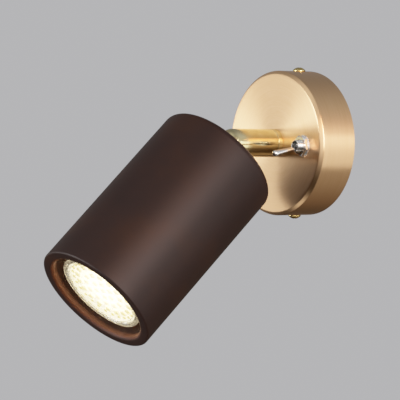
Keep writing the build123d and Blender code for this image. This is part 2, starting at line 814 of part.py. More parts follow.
wall_pieces = [
    wall_cup, wall_bracket, cup_screws, terminal_block, terminal_screws, block_screw,
    earth_lug, earth_screw, switch_body, switch_terminals, switch_bushing, switch_washer,
    switch_nut, live_lead, switched_lead, neutral_lead, earth_lead, swivel_seat, stop_stud,
    arm_nipple, friction_washer, stop_washer, nipple_nut, arm_tube, pivot_pins, arm_cable,
]
head_pieces = [
    knuckle, head_shell, holder_bracket, knuckle_washer, knuckle_nut, lamp_holder, holder_screws,
    head_cable, head_leads, lamp_reflector, lamp_base, lamp_pins, lamp_glass, led_board, led_chips,
]
lever_pieces = [toggle_lever]

os.makedirs("parts", exist_ok=True)
placed_pieces = ((wall_frame, wall_pieces), (head_frame, head_pieces), (lever_frame, lever_pieces))
for frame, pieces in placed_pieces:
    for piece in pieces:
        export_step(frame * piece(), f"parts/{piece.__name__}.step")
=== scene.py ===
import math

import bmesh
import bpy
from mathutils import Matrix, Vector


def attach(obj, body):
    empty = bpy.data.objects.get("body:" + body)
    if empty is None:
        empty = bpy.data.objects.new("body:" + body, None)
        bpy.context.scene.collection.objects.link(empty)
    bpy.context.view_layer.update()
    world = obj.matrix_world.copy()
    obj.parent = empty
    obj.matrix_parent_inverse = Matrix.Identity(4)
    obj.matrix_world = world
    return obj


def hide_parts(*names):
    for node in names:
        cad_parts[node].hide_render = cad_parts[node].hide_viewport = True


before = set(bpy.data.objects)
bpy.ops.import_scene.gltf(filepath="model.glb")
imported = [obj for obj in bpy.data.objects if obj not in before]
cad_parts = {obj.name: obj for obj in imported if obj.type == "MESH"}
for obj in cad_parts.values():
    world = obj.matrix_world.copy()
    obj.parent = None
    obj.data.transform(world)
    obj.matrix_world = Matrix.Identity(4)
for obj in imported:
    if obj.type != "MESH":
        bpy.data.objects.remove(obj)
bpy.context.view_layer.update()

# Looks of a switched wall spotlight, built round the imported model.  Sizes are in millimetres in a
# piece's own frame, angles are in degrees, and four frames, in metres, put the pieces in place.
MM = 0.001

# Fits and small edges
SLIDING_FIT = 0.05
HOLE_ROOM = 0.2
SMALL_EDGE = 0.2

# Smoothness: segments round a turned piece, points along one turn of a thread, steps round an edge,
# the angle above which an edge stays sharp, and the distance, in metres, at which points are one
LARGE_TURN = 256
MIDDLE_TURN = 128
FINE_TURN = 96
SMALL_TURN = 64
HOLE_TURN = 48
THREAD_STEPS = 8
BEVEL_STEPS = 2
SHARP = 35.0
WELD = 1e-7

# Wall cup, with the heights of cutters through its face and the reach of one across it
CUP_RADIUS = 40.0
CUP_DEPTH = 24.0
CUP_WALL = 1.5
CUP_EDGE = 2.15
CUP_EDGE_ROUND = 1.0
CUP_INSIDE_EDGE = 1.5
CUP_BACK_EDGE = 0.25
NIPPLE_RADIUS = 5.0
FACE_CUT = (10.0, 30.0)
CUP_CUT = 60.0

# Cup screws: place, shank, domed head, and a cross recess that narrows to shares of its width and span
SCREW_HEIGHT = 8.0
SCREW_RADIUS = 2.0
SCREW_LENGTH = 6.4
SCREW_POINT = 0.4
SCREW_NECK = 0.2
SCREW_PITCH = 0.7
THREAD_DEPTH = 0.22
SCREW_HEAD_RADIUS = 3.5
SCREW_HEAD_HEIGHT = 2.15
SCREW_COLLAR = 0.45
SCREW_COLLAR_EDGE = 0.15
SCREW_TURN = 38.0
RECESS_DEPTH = 1.1
RECESS_WIDTH = 0.95
RECESS_SPAN = 3.9
RECESS_LOW_WIDTH = 0.75
RECESS_LOW_SPAN = 0.45

# Toggle switch: bushing on its plate, toothed washer, nut and lever
SWITCH_ACROSS = 24.5
SWITCH_UP = -0.4
BUSHING_RADIUS = 3.157
BUSHING_BORE = 2.607
BUSHING_TOP = 30.0
BUSHING_FLOOR = 20.393
BUSHING_BOTTOM = 19.593
BUSHING_PITCH = 0.6
BUSHING_LEAD = 0.3
BUSHING_STEP = 0.05
BUSHING_MOUTH_EDGE = 0.15
SWITCH_PLATE_BOTTOM = 21.7
SWITCH_PLATE_TOP = 22.5
SWITCH_PLATE_SIZE = (7.9, 13.0)
WASHER_RADIUS = 6.1
WASHER_THICKNESS = 0.6
WASHER_EDGE = 0.1
WASHER_TEETH = 26
WASHER_SHARP = 30.0
TOOTH_SEGMENTS = 10
TOOTH_SHARE = 0.62
TOOTH_DEPTH = 0.5
TOOTH_ZONE = 0.4
NUT_FLATS = 10.0
NUT_HEIGHT = 2.2
NUT_EASE = 0.55
NUT_FACE_EDGE = 0.1
NUT_BORE_EDGE = 0.3
NUT_TURN = 14.0
NUT_SEGMENTS = 144
NUT_SHARP = 25.0
HEXAGON_ANGLE = 60.0
LEVER_PIVOT = 23.0
LEVER_LENGTH = 22.5
LEVER_ROOT = 0.75
LEVER_TIP = 1.75
LEVER_BALL = 2.557
LEVER_TILT = 11.5

# Swivel seat and arm, with the slot that the knuckle's neck swings in
ARM_RADIUS = 7.75
ARM_CAVITY = 6.55
SEAT_TOP = 27.2
ARM_FOOT = 27.35
NIPPLE_TOP = 33.35
PIVOT_HEIGHT = 54.0
NECK_ROOM = 4.3
SLOT_EASE = 0.02
SLOT_STEPS = 7
BEND = 43.0
BEND_MAX = 70.0
PIN_HOLE = 2.05

# Head
HEAD_RADIUS = 35.0
HEAD_REAR = 12.0
HEAD_FRONT = 122.0
HEAD_INSIDE = 32.8
HEAD_FLOOR = 15.5
HEAD_REAR_EDGE = 4.0
HEAD_RIM_EDGE = 1.0
MOUTH_RADIUS = 28.9
MOUTH_LENGTH = 20.0
MOUTH_EDGE = 2.0
STEM_HOLE = 5.2

# Lamp's body: flare, ribs round its rim, and grooves in its front at distances from its edge
LAMP_RADIUS = 25.0
LAMP_FRONT = 117.4
LAMP_RIM_LOW = 114.4
LAMP_NECK_TOP = 83.4
LAMP_WAIST = 11.5
LAMP_BULGE = 3.0
LAMP_EDGE = 0.5
FLARE_STEPS = 24
RIBS = 150
RIB_SEGMENTS = 6
RIB_DEPTH = 0.18
RIB_START = 0.3
RIM_WIDTH = 1.6
RIM_GROOVES = (0.7, 1.05)
GROOVE_WIDTH = 0.2
GROOVE_SLOPE = 0.06
GROOVE_DEPTH = 0.16

# Lamp's front glass: rings near its edge and a crown inside them
GLASS_RADIUS = 23.35
GLASS_BACK = 116.2
GLASS_EDGE = 0.1
GLASS_DROP = 0.05
GLASS_SEGMENTS = 160
GLASS_RINGS = 3
RING_START = 0.5
RING_PITCH = 0.7
RING_WIDTH = 0.48
RING_SLOPE = 0.12
RING_DEPTH = 0.25
CROWN_START = 2.6
CROWN_HEIGHT = 0.3
CROWN_STEPS = 8

# Lamp's board with its lip, and the chips on it
BOARD_RADIUS = 22.35
BOARD_BACK = 112.4
BOARD_FRONT = 113.6
LIP_GAP = 0.3
LIP_TOP = 0.3
LIP_KNEE = 0.5
LIP_KNEE_HEIGHT = 0.8
LIP_FOOT = 1.2
CHIP_SIZE = 3.5
CHIP_HEIGHT = 1.3
CHIP_EDGE = 0.15
CHIP_PITCH = 5.6
CHIP_RINGS = 3
CHIPS_IN_FIRST_RING = 6
EDGE_CHIPS = 27
EDGE_CHIP_RING = 20.0
EDGE_CHIP_SHARE = 0.6
PHOSPHOR_INSET = 0.7
PHOSPHOR_HEIGHT = 0.35
PHOSPHOR_PROUD = 0.3
PHOSPHOR_EDGE = 0.12

# Photograph's camera: turned and raised round a point on the arm's axis, near the cup's face
VIEW_MIDDLE = (0, -23.0, 0)
VIEW_AZIMUTH = 51.98
VIEW_ELEVATION = 3.16
VIEW_ROLL = 1.74
VIEW_SHIFT = (42.03, 31.50)
VIEW_DISTANCE = 1500.0
VIEW_LENS = 244.13
VIEW_END = 30000.0
SENSOR = 36.0


# Frames: x is right, y is up, z runs out of the wall, along the head or along the lever
def frame_along(origin, direction):
    """A frame whose z axis follows a direction in the YZ plane."""
    z = Vector(direction).normalized()
    x = Vector((1, 0, 0))
    y = z.cross(x)
    matrix = Matrix((x, y, z)).transposed().to_4x4()
    matrix.translation = Vector(origin) * MM
    return matrix


def tilted(degrees):
    """A direction out of the wall and down by an angle."""
    return (0, -math.cos(math.radians(degrees)), -math.sin(math.radians(degrees)))


wall = frame_along((0, 0, 0), tilted(0))
head = frame_along((0, -PIVOT_HEIGHT, 0), tilted(BEND))
switch = frame_along((SWITCH_ACROSS, 0, SWITCH_UP), tilted(0))
lever = frame_along((SWITCH_ACROSS, -LEVER_PIVOT, SWITCH_UP), tilted(LEVER_TILT))


# Mesh helpers
def arc(radius, height, size, start, end, steps):
    """Points of an arc round (radius, height), from one angle to another."""
    points = []
    for step in range(steps + 1):
        angle = math.radians(start + (end - start) * step / steps)
        points.append((radius + size * math.cos(angle), height + size * math.sin(angle)))
    return points


def line(start, end, steps):
    """Points along a straight run, both ends included."""
    return [
        (start[0] + (end[0] - start[0]) * step / steps, start[1] + (end[1] - start[1]) * step / steps)
        for step in range(steps + 1)
    ]


def finish_mesh(mesh, sharp=SHARP):
    """Face outwards, shade smooth and keep the edges sharper than an angle."""
    made = bmesh.new()
    made.from_mesh(mesh)
    bmesh.ops.remove_doubles(made, verts=made.verts, dist=WELD)
    bmesh.ops.recalc_face_normals(made, faces=made.faces)
    made.to_mesh(mesh)
    made.free()
    mesh.shade_smooth()
    mesh.set_sharp_from_angle(angle=math.radians(sharp))
    return mesh


def from_bmesh(name, made):
    """A finished mesh from an edit mesh, which is freed."""
    mesh = bpy.data.meshes.new(name)
    made.to_mesh(mesh)
    made.free()
    return finish_mesh(mesh)


def turned(name, outline, segments, shape=None, sharp=SHARP):
    """A mesh turned round z from a closed outline of (radius, height) points.
    shape(radius, height, turn) may change the radius at a share of the turn."""
    vertices = []
    rings = []
    for radius, height in outline:
        count = segments if radius > 0 else 1
        rings.append(range(len(vertices), len(vertices) + count))
        for index in range(count):
            turn = index / segments
            real = shape(radius, height, turn) if shape and radius > 0 else radius
            angle = 2 * math.pi * turn
            vertices.append((real * math.cos(angle) * MM, real * math.sin(angle) * MM, height * MM))
    faces = []
    for ring, following in zip(rings, rings[1:] + rings[:1]):
        if len(ring) == 1 and len(following) == 1:
            continue
        for index in range(segments):
            after = (index + 1) % segments
            corners = [ring[index % len(ring)], ring[after % len(ring)]]
            corners += [following[after % len(following)], following[index % len(following)]]
            faces.append(list(dict.fromkeys(corners)))
    mesh = bpy.data.meshes.new(name)
    mesh.from_pydata(vertices, [], faces)
    return finish_mesh(mesh, sharp)


def rod(name, radius, low, high, segments):
    """A plain round rod along z."""
    return turned(name, [(0, low), (radius, low), (radius, high), (0, high)], segments)


def thread(radius, start, end, pitch):
    """Outline points close enough together to carry a thread."""
    return line((radius, start), (radius, end), round(abs(end - start) / pitch * THREAD_STEPS))


def threaded(radius, low, high, pitch):
    """A shape that cuts a screw thread into the outline's points on one radius."""
    def cut(point_radius, height, turn):
        if point_radius != radius or not low <= height <= high:
            return point_radius
        phase = (height / pitch - turn) % 1
        return radius - THREAD_DEPTH * abs(2 * phase - 1)
    return cut


def six_sided(flats):
    """A shape that cuts a round bar to a hexagon."""
    half_side = HEXAGON_ANGLE / 2

    def cut(radius, height, turn):
        angle = math.radians((turn * 360 + half_side) % HEXAGON_ANGLE - half_side)
        return min(radius, flats / 2 / math.cos(angle))
    return cut


def box_mesh(name, size, middle, edge):
    """A box with rounded edges."""
    made = bmesh.new()
    bmesh.ops.create_cube(made, size=1)
    for vertex in made.verts:
        vertex.co = Vector(middle) + Vector([c * s for c, s in zip(vertex.co, size)])
        vertex.co *= MM
    bmesh.ops.bevel(
        made, geom=made.edges, offset=edge * MM, segments=BEVEL_STEPS, profile=0.5, affect="EDGES"
    )
    return from_bmesh(name, made)


def joined(name, meshes):
    """Several (mesh, matrix) pairs as one mesh."""
    made = bmesh.new()
    for mesh, matrix in meshes:
        copy = mesh.copy()
        copy.transform(matrix)
        made.from_mesh(copy)
        bpy.data.meshes.remove(copy)
    return from_bmesh(name, made)


def in_scene(name, data):
    """A new object in the scene."""
    thing = bpy.data.objects.new(name, data)
    bpy.context.scene.collection.objects.link(thing)
    return thing


def cut_away(mesh, cutters):
    """The mesh with other meshes taken out of it."""
    target = in_scene("target", mesh)
    tools = []
    for cutter in cutters:
        tool = in_scene("cutter", cutter)
        tools.append(tool)
        modifier = target.modifiers.new("cut", "BOOLEAN")
        modifier.operation = "DIFFERENCE"
        modifier.solver = "EXACT"
        modifier.object = tool
    result = bpy.data.meshes.new_from_object(
        target.evaluated_get(bpy.context.evaluated_depsgraph_get())
    )
    name = mesh.name
    for spare in [target, *tools]:
        bpy.data.objects.remove(spare)
    bpy.data.meshes.remove(mesh)
    result.name = name
    return finish_mesh(result)


def moved(mesh, matrix):
    """The mesh itself, moved."""
    mesh.transform(matrix)
    return mesh


def shift(x, y, z):
    """A move in millimetres."""
    return Matrix.Translation(Vector((x, y, z)) * MM)


def turn_by(degrees, axis):
    """A turn about a local axis."""
    return Matrix.Rotation(math.radians(degrees), 4, axis)


def place_piece(mesh, matrix, body, material, slot, *nodes):
    """Put a mesh in place as a piece on a body, standing for CAD nodes."""
    piece = in_scene(mesh.name, mesh)
    mesh.materials.clear()
    mesh.materials.append(material)
    piece.matrix_world = matrix
    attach(piece, body)
    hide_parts(*nodes)


# Material helpers: the range that most of a noise lies in, and depths of relief in metres
NOISE_LOW = 0.3
NOISE_HIGH = 0.7
FINE_RELIEF = 0.02 * MM
GRAIN_RELIEF = 0.03 * MM
FLOW_RELIEF = 0.1 * MM


def srgb(red, green, blue):
    """A display colour, 0 to 255, as linear light."""
    def linear(value):
        value /= 255
        return value / 12.92 if value <= 0.04045 else ((value + 0.055) / 1.055) ** 2.4
    return (linear(red), linear(green), linear(blue), 1.0)


class Nodes:
    """A node tree, and short ways to add nodes to it."""

    def __init__(self, tree):
        self.tree = tree

    def node(self, kind, inputs=(), **settings):
        """A node with its settings, and its inputs by place: links or values."""
        node = self.tree.nodes.new("ShaderNode" + kind)
        for setting, value in settings.items():
            setattr(node, setting, value)
        for place, value in enumerate(inputs):
            if isinstance(value, bpy.types.NodeSocket):
                self.tree.links.new(value, node.inputs[place])
            elif value is not None:
                node.inputs[place].default_value = value
        return node

    def vector(self, operation, *inputs):
        """A step of vector arithmetic, which gives a number or a vector."""
        node = self.node("VectorMath", inputs, operation=operation)
        gives_number = operation in ("LENGTH", "DOT_PRODUCT", "DISTANCE")
        return node.outputs["Value"] if gives_number else node.outputs["Vector"]

    def number(self, operation, *inputs):
        """A step of arithmetic."""
        return self.node("Math", inputs, operation=operation).outputs[0]

    def ramp(self, value, *stops):
        """Colours at places along a value."""
        node = self.node("ValToRGB", [value])
        elements = node.color_ramp.elements
        while len(elements) < len(stops):
            elements.new(1.0)
        for element, (position, colour) in zip(elements, stops):
            element.position = position
            element.color = colour
        return node.outputs["Color"]


class Finish(Nodes):
    """A material with one Principled shader and the nodes that feed it."""

    def __init__(self, name, colour, roughness, **sockets):
        self.material = bpy.data.materials.new(name)
        self.material.use_nodes = True
        super().__init__(self.material.node_tree)
        self.shader = self.tree.nodes["Principled BSDF"]
        self.shader.inputs["Base Color"].default_value = colour
        self.shader.inputs["Roughness"].default_value = roughness
        for socket, value in sockets.items():
            self.shader.inputs[socket.replace("_", " ")].default_value = value

    def place(self):
        """The point in the piece's own frame, in metres."""
        return self.node("TexCoord").outputs["Object"]

    def noise(self, vector, scale=1.0, detail=4.0, rough=0.6):
        """A noise along a texture vector."""
        node = self.node("TexNoise")
        self.tree.links.new(vector, node.inputs["Vector"])
        node.inputs["Scale"].default_value = scale
        node.inputs["Detail"].default_value = detail
        node.inputs["Roughness"].default_value = rough
        return node.outputs[0]

    def span(self, noise, low, high):
        """A noise spread over a range."""
        return self.node("MapRange", [noise, NOISE_LOW, NOISE_HIGH, low, high]).outputs["Result"]

    def feed(self, socket, value):
        """Link a value to one of the shader's sockets."""
        self.tree.links.new(value, self.shader.inputs[socket])

    def tint(self, value, *stops):
        """Let the colour run along a value."""
        self.feed("Base Color", self.ramp(value, *stops))

    def bump(self, height, strength, depth):
        """A fine relief."""
        node = self.node("Bump")
        node.inputs["Strength"].default_value = strength
        node.inputs["Distance"].default_value = depth
        self.tree.links.new(height, node.inputs["Height"])
        self.feed("Normal", node.outputs["Normal"])

    def wear(self, noise, roughness, strength, depth):
        """Let the roughness and a fine relief run along a noise."""
        self.feed("Roughness", self.span(noise, *roughness))
        self.bump(noise, strength, depth)

    def from_axis(self):
        """The point in the piece's own frame, without its height."""
        return self.vector("MULTIPLY", self.place(), (1, 1, 0))

    def marks_round(self, across, along):
        """A texture vector, fine across the turning marks round local z and slow along them."""
        flat = self.from_axis()
        heading = self.vector("MULTIPLY", self.vector("NORMALIZE", flat), (along, along, 0))
        height = self.node("SeparateXYZ", [self.place()]).outputs["Z"]
        profile = self.number("SUBTRACT", self.vector("LENGTH", flat), height)
        parts = self.node("SeparateXYZ", [heading])
        inputs = [self.number("MULTIPLY", profile, across), parts.outputs["X"], parts.outputs["Y"]]
        return self.node("CombineXYZ", inputs).outputs["Vector"]

    def stretched(self, x, y, z):
        """A texture vector with its own fineness along each local axis."""
        return self.vector("MULTIPLY", self.place(), (x, y, z))

    def tangent_round(self):
        """Let the shader's brushing run round local z."""
        self.feed("Tangent", self.node("Tangent", direction_type="RADIAL", axis="Z").outputs[0])


# Materials
def spun_brass():
    """Lacquered brass with fine marks that run round, as from spinning and brushing."""
    finish = Finish(
        "spun_brass", srgb(226, 188, 140), 0.3, Metallic=1.0, Anisotropic=0.75, Anisotropic_Rotation=0.25
    )
    fine = finish.noise(finish.marks_round(across=6000, along=3.0))
    broad = finish.noise(finish.marks_round(across=1500, along=1.5), detail=3.0)
    fine_share = finish.number("MULTIPLY", fine, 0.6)
    broad_share = finish.number("MULTIPLY", broad, 0.4)
    finish.tint(
        finish.number("ADD", fine_share, broad_share),
        (0.3, srgb(229, 181, 132)), (0.5, srgb(237, 191, 144)), (0.7, srgb(243, 199, 154)),
    )
    finish.wear(fine, roughness=(0.29, 0.315), strength=0.015, depth=FINE_RELIEF)
    finish.tangent_round()
    return finish.material


def polished_brass():
    """Drawn and polished brass tube, yellower, with faint streaks along it."""
    finish = Finish("polished_brass", srgb(243, 227, 174), 0.14, Metallic=1.0)
    streaks = finish.noise(finish.stretched(2600, 2600, 60))
    cloud = finish.noise(finish.place(), scale=260.0, detail=3.0, rough=0.5)
    finish.tint(
        cloud, (0.3, srgb(236, 216, 158)), (0.55, srgb(243, 227, 174)), (0.75, srgb(247, 233, 188)),
    )
    finish.wear(streaks, roughness=(0.10, 0.20), strength=0.12, depth=FINE_RELIEF)
    return finish.material


def bright_brass():
    """Bright plated brass of the cup's screws."""
    finish = Finish("bright_brass", srgb(232, 190, 92), 0.1, Metallic=1.0)
    scuffs = finish.noise(finish.place(), scale=900.0, rough=0.65)
    finish.tint(
        scuffs, (0.3, srgb(226, 190, 112)), (0.6, srgb(240, 212, 142)), (0.8, srgb(248, 228, 170)),
    )
    finish.wear(scuffs, roughness=(0.07, 0.2), strength=0.08, depth=GRAIN_RELIEF)
    return finish.material


def brown_paint():
    """Satin dark-brown powder coat with a fine grain, rougher in the mouth, where an orange tint is
    painted light: the lamp's warm light on the inner wall.
    """
    mouth_end = (MOUTH_RADIUS + 1.0) * MM
    outside_start = (MOUTH_RADIUS + 3.5) * MM
    mouth_roughness = 0.08
    # Painted light: the orange tint in the mouth stands in for the lamp's warm light falling on the
    # inner wall.
    mouth_lamp_glow_colour = srgb(54, 26, 11)
    finish = Finish("brown_paint", srgb(51, 26, 19), 0.5, Specular_IOR_Level=0.22)
    grain = finish.noise(finish.place(), scale=2600.0, detail=3.0)
    cloud = finish.noise(finish.place(), scale=34.0, detail=3.0, rough=0.55)
    outside = finish.ramp(
        cloud, (0.3, srgb(46, 24, 19)), (0.5, srgb(51, 26, 19)), (0.7, srgb(60, 30, 16)),
    )
    reach = finish.vector("DISTANCE", finish.place(), (0, 0, LAMP_FRONT * MM))
    away = finish.node("MapRange", [reach, mouth_end, outside_start]).outputs["Result"]
    blend = finish.node("MixRGB", [away, mouth_lamp_glow_colour, outside])
    finish.feed("Base Color", blend.outputs["Color"])
    rougher = finish.number("MULTIPLY_ADD", away, -mouth_roughness, mouth_roughness)
    finish.feed("Roughness", finish.number("ADD", finish.span(grain, 0.46, 0.54), rougher))
    finish.bump(grain, strength=0.06, depth=GRAIN_RELIEF)
    return finish.material


def nickel():
    """Bright nickel plate with light handling marks."""
    finish = Finish("nickel_plate", srgb(236, 231, 226), 0.12, Metallic=1.0)
    scuffs = finish.noise(finish.place(), scale=1400.0, detail=5.0, rough=0.65)
    finish.tint(
        scuffs, (0.3, srgb(235, 233, 231)), (0.6, srgb(247, 246, 244)), (0.8, srgb(251, 250, 249)),
    )
    finish.wear(scuffs, roughness=(0.08, 0.24), strength=0.06, depth=FINE_RELIEF)
    return finish.material


def zinc_steel():
    """Zinc-plated pressed steel: faint spangle and rolling lines."""
    finish = Finish("zinc_plate", srgb(178, 180, 184), 0.34, Metallic=1.0)
    spangle = finish.noise(finish.place(), scale=420.0, rough=0.55)
    rolling = finish.noise(finish.stretched(3200, 160, 160), detail=3.0)
    finish.tint(
        spangle, (0.3, srgb(158, 161, 168)), (0.55, srgb(181, 183, 186)), (0.75, srgb(199, 198, 192)),
    )
    finish.wear(rolling, roughness=(0.26, 0.44), strength=0.05, depth=FINE_RELIEF)
    return finish.material


def plain_brass():
    """Machined brass of terminals and pins."""
    finish = Finish("terminal_brass_metal", srgb(204, 168, 98), 0.28, Metallic=1.0)
    marks = finish.noise(finish.marks_round(across=5200, along=1.4))
    finish.tint(
        marks, (0.3, srgb(184, 146, 78)), (0.55, srgb(206, 171, 102)), (0.75, srgb(220, 190, 126)),
    )
    finish.wear(marks, roughness=(0.2, 0.38), strength=0.08, depth=FINE_RELIEF)
    return finish.material


def moulded(name, dark, light, roughness):
    """Moulded plastic, sheath or ceramic: slight cloud in the colour and a fine skin."""
    spread = 0.07
    finish = Finish(name, light, roughness)
    cloud = finish.noise(finish.place(), scale=160.0, detail=3.0, rough=0.55)
    grain = finish.noise(finish.place(), scale=1500.0)
    finish.tint(cloud, (NOISE_LOW, dark), (NOISE_HIGH, light))
    finish.wear(grain, (roughness - spread, roughness + spread), strength=0.1, depth=GRAIN_RELIEF)
    return finish.material


def clear_glass(name, roughness, **sockets):
    """Clear pressed glass with faint flow in its surface."""
    spread = 0.03
    finish = Finish(
        name, (0.97, 0.98, 0.97, 1.0), roughness, IOR=1.46, Transmission_Weight=1.0, **sockets
    )
    flow = finish.noise(finish.place(), scale=320.0, detail=2.0, rough=0.5)
    finish.wear(flow, (roughness, roughness + spread), strength=0.03, depth=FLOW_RELIEF)
    return finish.material


def glowing(name, colour, middle, edge, patch_scale):
    """A lit surface whose glow is a little uneven, and falls from the lamp's middle to its edge."""
    strength = 4.2
    unevenness = 0.3
    fall_start = 0.4
    fall_end = 0.85
    finish = Finish(name, colour, 0.5, Emission_Strength=strength)
    patch = finish.noise(finish.place(), patch_scale, detail=2.0, rough=0.5)
    distance = finish.vector("LENGTH", finish.from_axis())
    share = finish.number("MULTIPLY_ADD", distance, 1 / (BOARD_RADIUS * MM), -unevenness / 2)
    share = finish.number("MULTIPLY_ADD", patch, unevenness, share)
    glow = finish.ramp(share, (fall_start, (*middle, 1.0)), (fall_end, (*edge, 1.0)))
    finish.feed("Emission Color", glow)
    return finish.material


spun_brass_finish = spun_brass()
polished_brass_finish = polished_brass()
bright_brass_finish = bright_brass()
brown_paint_finish = brown_paint()
nickel_finish = nickel()
zinc_finish = zinc_steel()
terminal_finish = plain_brass()
black_plastic_finish = moulded("black_phenolic", srgb(20, 20, 22), srgb(34, 33, 34), 0.4)
natural_plastic_finish = moulded("natural_nylon", srgb(206, 203, 190), srgb(226, 224, 214), 0.45)
ceramic_finish = moulded("white_steatite", srgb(222, 216, 202), srgb(236, 232, 222), 0.35)
brown_lead_finish = moulded("brown_sleeve", srgb(74, 42, 26), srgb(96, 56, 34), 0.42)
blue_lead_finish = moulded("blue_sleeve", srgb(28, 62, 128), srgb(40, 84, 160), 0.42)
earth_lead_finish = moulded("earth_sleeve", srgb(56, 120, 44), srgb(196, 190, 52), 0.42)
sheath_finish = moulded("white_sheath", srgb(206, 204, 200), srgb(222, 220, 216), 0.45)
front_glass_finish = clear_glass("front_glass", 0.02)
# Painted light: the rim's faint warm glow stands in for the chips' light carried through the glass.
rim_glass_with_painted_glow_finish = clear_glass(
    "rim_glass", 0.06, Emission_Color=(1.0, 0.8, 0.5, 1.0), Emission_Strength=0.05
)
board_finish = glowing(
    "lit_board", srgb(240, 240, 236),
    middle=(1.0, 0.8, 0.5), edge=(0.34, 0.28, 0.175), patch_scale=240.0,
)
package_finish = glowing(
    "lit_package", srgb(244, 242, 230),
    middle=(0.85, 0.69, 0.43), edge=(0.3, 0.25, 0.15), patch_scale=500.0,
)
phosphor_finish = glowing(
    "lit_phosphor", srgb(240, 214, 110),
    middle=(0.75, 0.6, 0.36), edge=(0.19, 0.155, 0.075), patch_scale=700.0,
)


# Wall cup and its screws
def spun_cup():
    """A spun shell with a softened front edge, and holes for the nipple, the switch and two screws."""
    inside = CUP_RADIUS - CUP_WALL
    bore = NIPPLE_RADIUS + HOLE_ROOM
    face_end = CUP_RADIUS - CUP_EDGE
    side_end = CUP_DEPTH - CUP_EDGE
    outline = line((bore, CUP_DEPTH), (face_end, CUP_DEPTH), steps=24)
    outline += arc(face_end, CUP_DEPTH - CUP_EDGE_ROUND, CUP_EDGE_ROUND, 90, 45, steps=6)[1:]
    outline += arc(CUP_RADIUS - CUP_EDGE_ROUND, side_end, CUP_EDGE_ROUND, 45, 0, steps=6)
    outline += line((CUP_RADIUS, side_end), (CUP_RADIUS, CUP_BACK_EDGE), steps=10)[1:]
    outline += [(CUP_RADIUS - CUP_BACK_EDGE, 0), (inside + CUP_BACK_EDGE, 0), (inside, CUP_BACK_EDGE)]
    corner = (inside - CUP_INSIDE_EDGE, CUP_DEPTH - CUP_WALL - CUP_INSIDE_EDGE)
    outline += arc(*corner, CUP_INSIDE_EDGE, 0, 90, steps=8)
    outline += [(bore, CUP_DEPTH - CUP_WALL)]
    shell = turned("spun_cup", outline, LARGE_TURN)
    switch_hole = rod("hole", BUSHING_RADIUS + HOLE_ROOM, *FACE_CUT, HOLE_TURN)
    screw_hole = rod("hole", SCREW_RADIUS + HOLE_ROOM, -CUP_CUT, CUP_CUT, HOLE_TURN)
    return cut_away(shell, [
        moved(switch_hole, shift(SWITCH_ACROSS, SWITCH_UP, 0)),
        moved(screw_hole, shift(0, 0, SCREW_HEIGHT) @ turn_by(90, "X")),
    ])


def cross_recess():
    """Cutters for a cross recess whose arms narrow towards the bottom."""
    cutters = []
    for degrees in (0, 90):
        made = bmesh.new()
        bmesh.ops.create_cube(made, size=1)
        for vertex in made.verts:
            low = vertex.co.z < 0
            vertex.co.x *= RECESS_WIDTH * (RECESS_LOW_WIDTH if low else 1.0)
            vertex.co.y *= RECESS_SPAN * (RECESS_LOW_SPAN if low else 1.0)
            vertex.co.z = -RECESS_DEPTH if low else RECESS_DEPTH
            vertex.co *= MM
        cutters.append(moved(from_bmesh("recess", made), turn_by(degrees, "Z")))
    return cutters


def cup_screw():
    """A screw with a low collar, a domed head with a cross recess, and a threaded shank."""
    rise = SCREW_HEAD_HEIGHT - SCREW_COLLAR
    dome = (SCREW_HEAD_RADIUS ** 2 + rise ** 2) / (2 * rise)
    edge = math.degrees(math.asin(SCREW_HEAD_RADIUS / dome))
    outline = [(0, -SCREW_LENGTH), (SCREW_RADIUS - THREAD_DEPTH, -SCREW_LENGTH)]
    outline += thread(SCREW_RADIUS, -SCREW_LENGTH + SCREW_POINT, -SCREW_NECK, SCREW_PITCH)
    outline += [(SCREW_RADIUS, 0), (SCREW_HEAD_RADIUS - SCREW_COLLAR_EDGE, 0)]
    outline += [(SCREW_HEAD_RADIUS, SCREW_COLLAR_EDGE), (SCREW_HEAD_RADIUS, SCREW_COLLAR)]
    outline += arc(0, SCREW_HEAD_HEIGHT - dome, dome, 90 - edge, 90, steps=12)[1:-1]
    outline += [(0, SCREW_HEAD_HEIGHT)]
    shape = threaded(SCREW_RADIUS, -SCREW_LENGTH, -SCREW_NECK, SCREW_PITCH)
    screw = turned("cup_screw", outline, SMALL_TURN, shape)
    return cut_away(screw, [moved(cutter, shift(0, 0, SCREW_HEAD_HEIGHT)) for cutter in cross_recess()])


def cup_screws():
    """One screw at the top of the cup and one at the bottom."""
    screw = cup_screw()
    top = shift(0, CUP_RADIUS, SCREW_HEIGHT) @ turn_by(-90, "X") @ turn_by(SCREW_TURN, "Z")
    return joined("cup_screws_dressed", [(screw, top), (screw, turn_by(180, "Z") @ top)])


place_piece(spun_cup(), wall, "base", spun_brass_finish, "brushed_brass", "wall_cup")
place_piece(cup_screws(), wall, "base", bright_brass_finish, "brass_screw", "cup_screws")


# Swivel seat and arm
def swivel_seat():
    """The thin ring at the arm's foot."""
    bore = NIPPLE_RADIUS + SLIDING_FIT
    rim = ARM_RADIUS - SMALL_EDGE
    outline = [(bore, CUP_DEPTH), (rim, CUP_DEPTH), (ARM_RADIUS, CUP_DEPTH + SMALL_EDGE)]
    outline += arc(rim, SEAT_TOP - SMALL_EDGE, SMALL_EDGE, 0, 90, steps=4)
    outline += [(bore, SEAT_TOP)]
    return turned("swivel_seat_dressed", outline, MIDDLE_TURN)


def slot_fan(reach):
    """The wedge between the neck's first and last place, a little narrower than the neck's room."""
    half_width = NECK_ROOM - SLOT_EASE
    fan = [(0, 0)]
    for step in range(SLOT_STEPS + 1):
        angle = math.radians(BEND_MAX * step / SLOT_STEPS)
        fan.append((-reach * math.sin(angle), reach * math.cos(angle)))
    made = bmesh.new()
    left, right = [
        [made.verts.new(Vector((across, y, z)) * MM) for y, z in fan]
        for across in (-half_width, half_width)
    ]
    made.faces.new(left)
    made.faces.new(right)
    for index in range(len(fan)):
        after = (index + 1) % len(fan)
        made.faces.new((left[index], left[after], right[after], right[index]))
    return from_bmesh("fan", made)


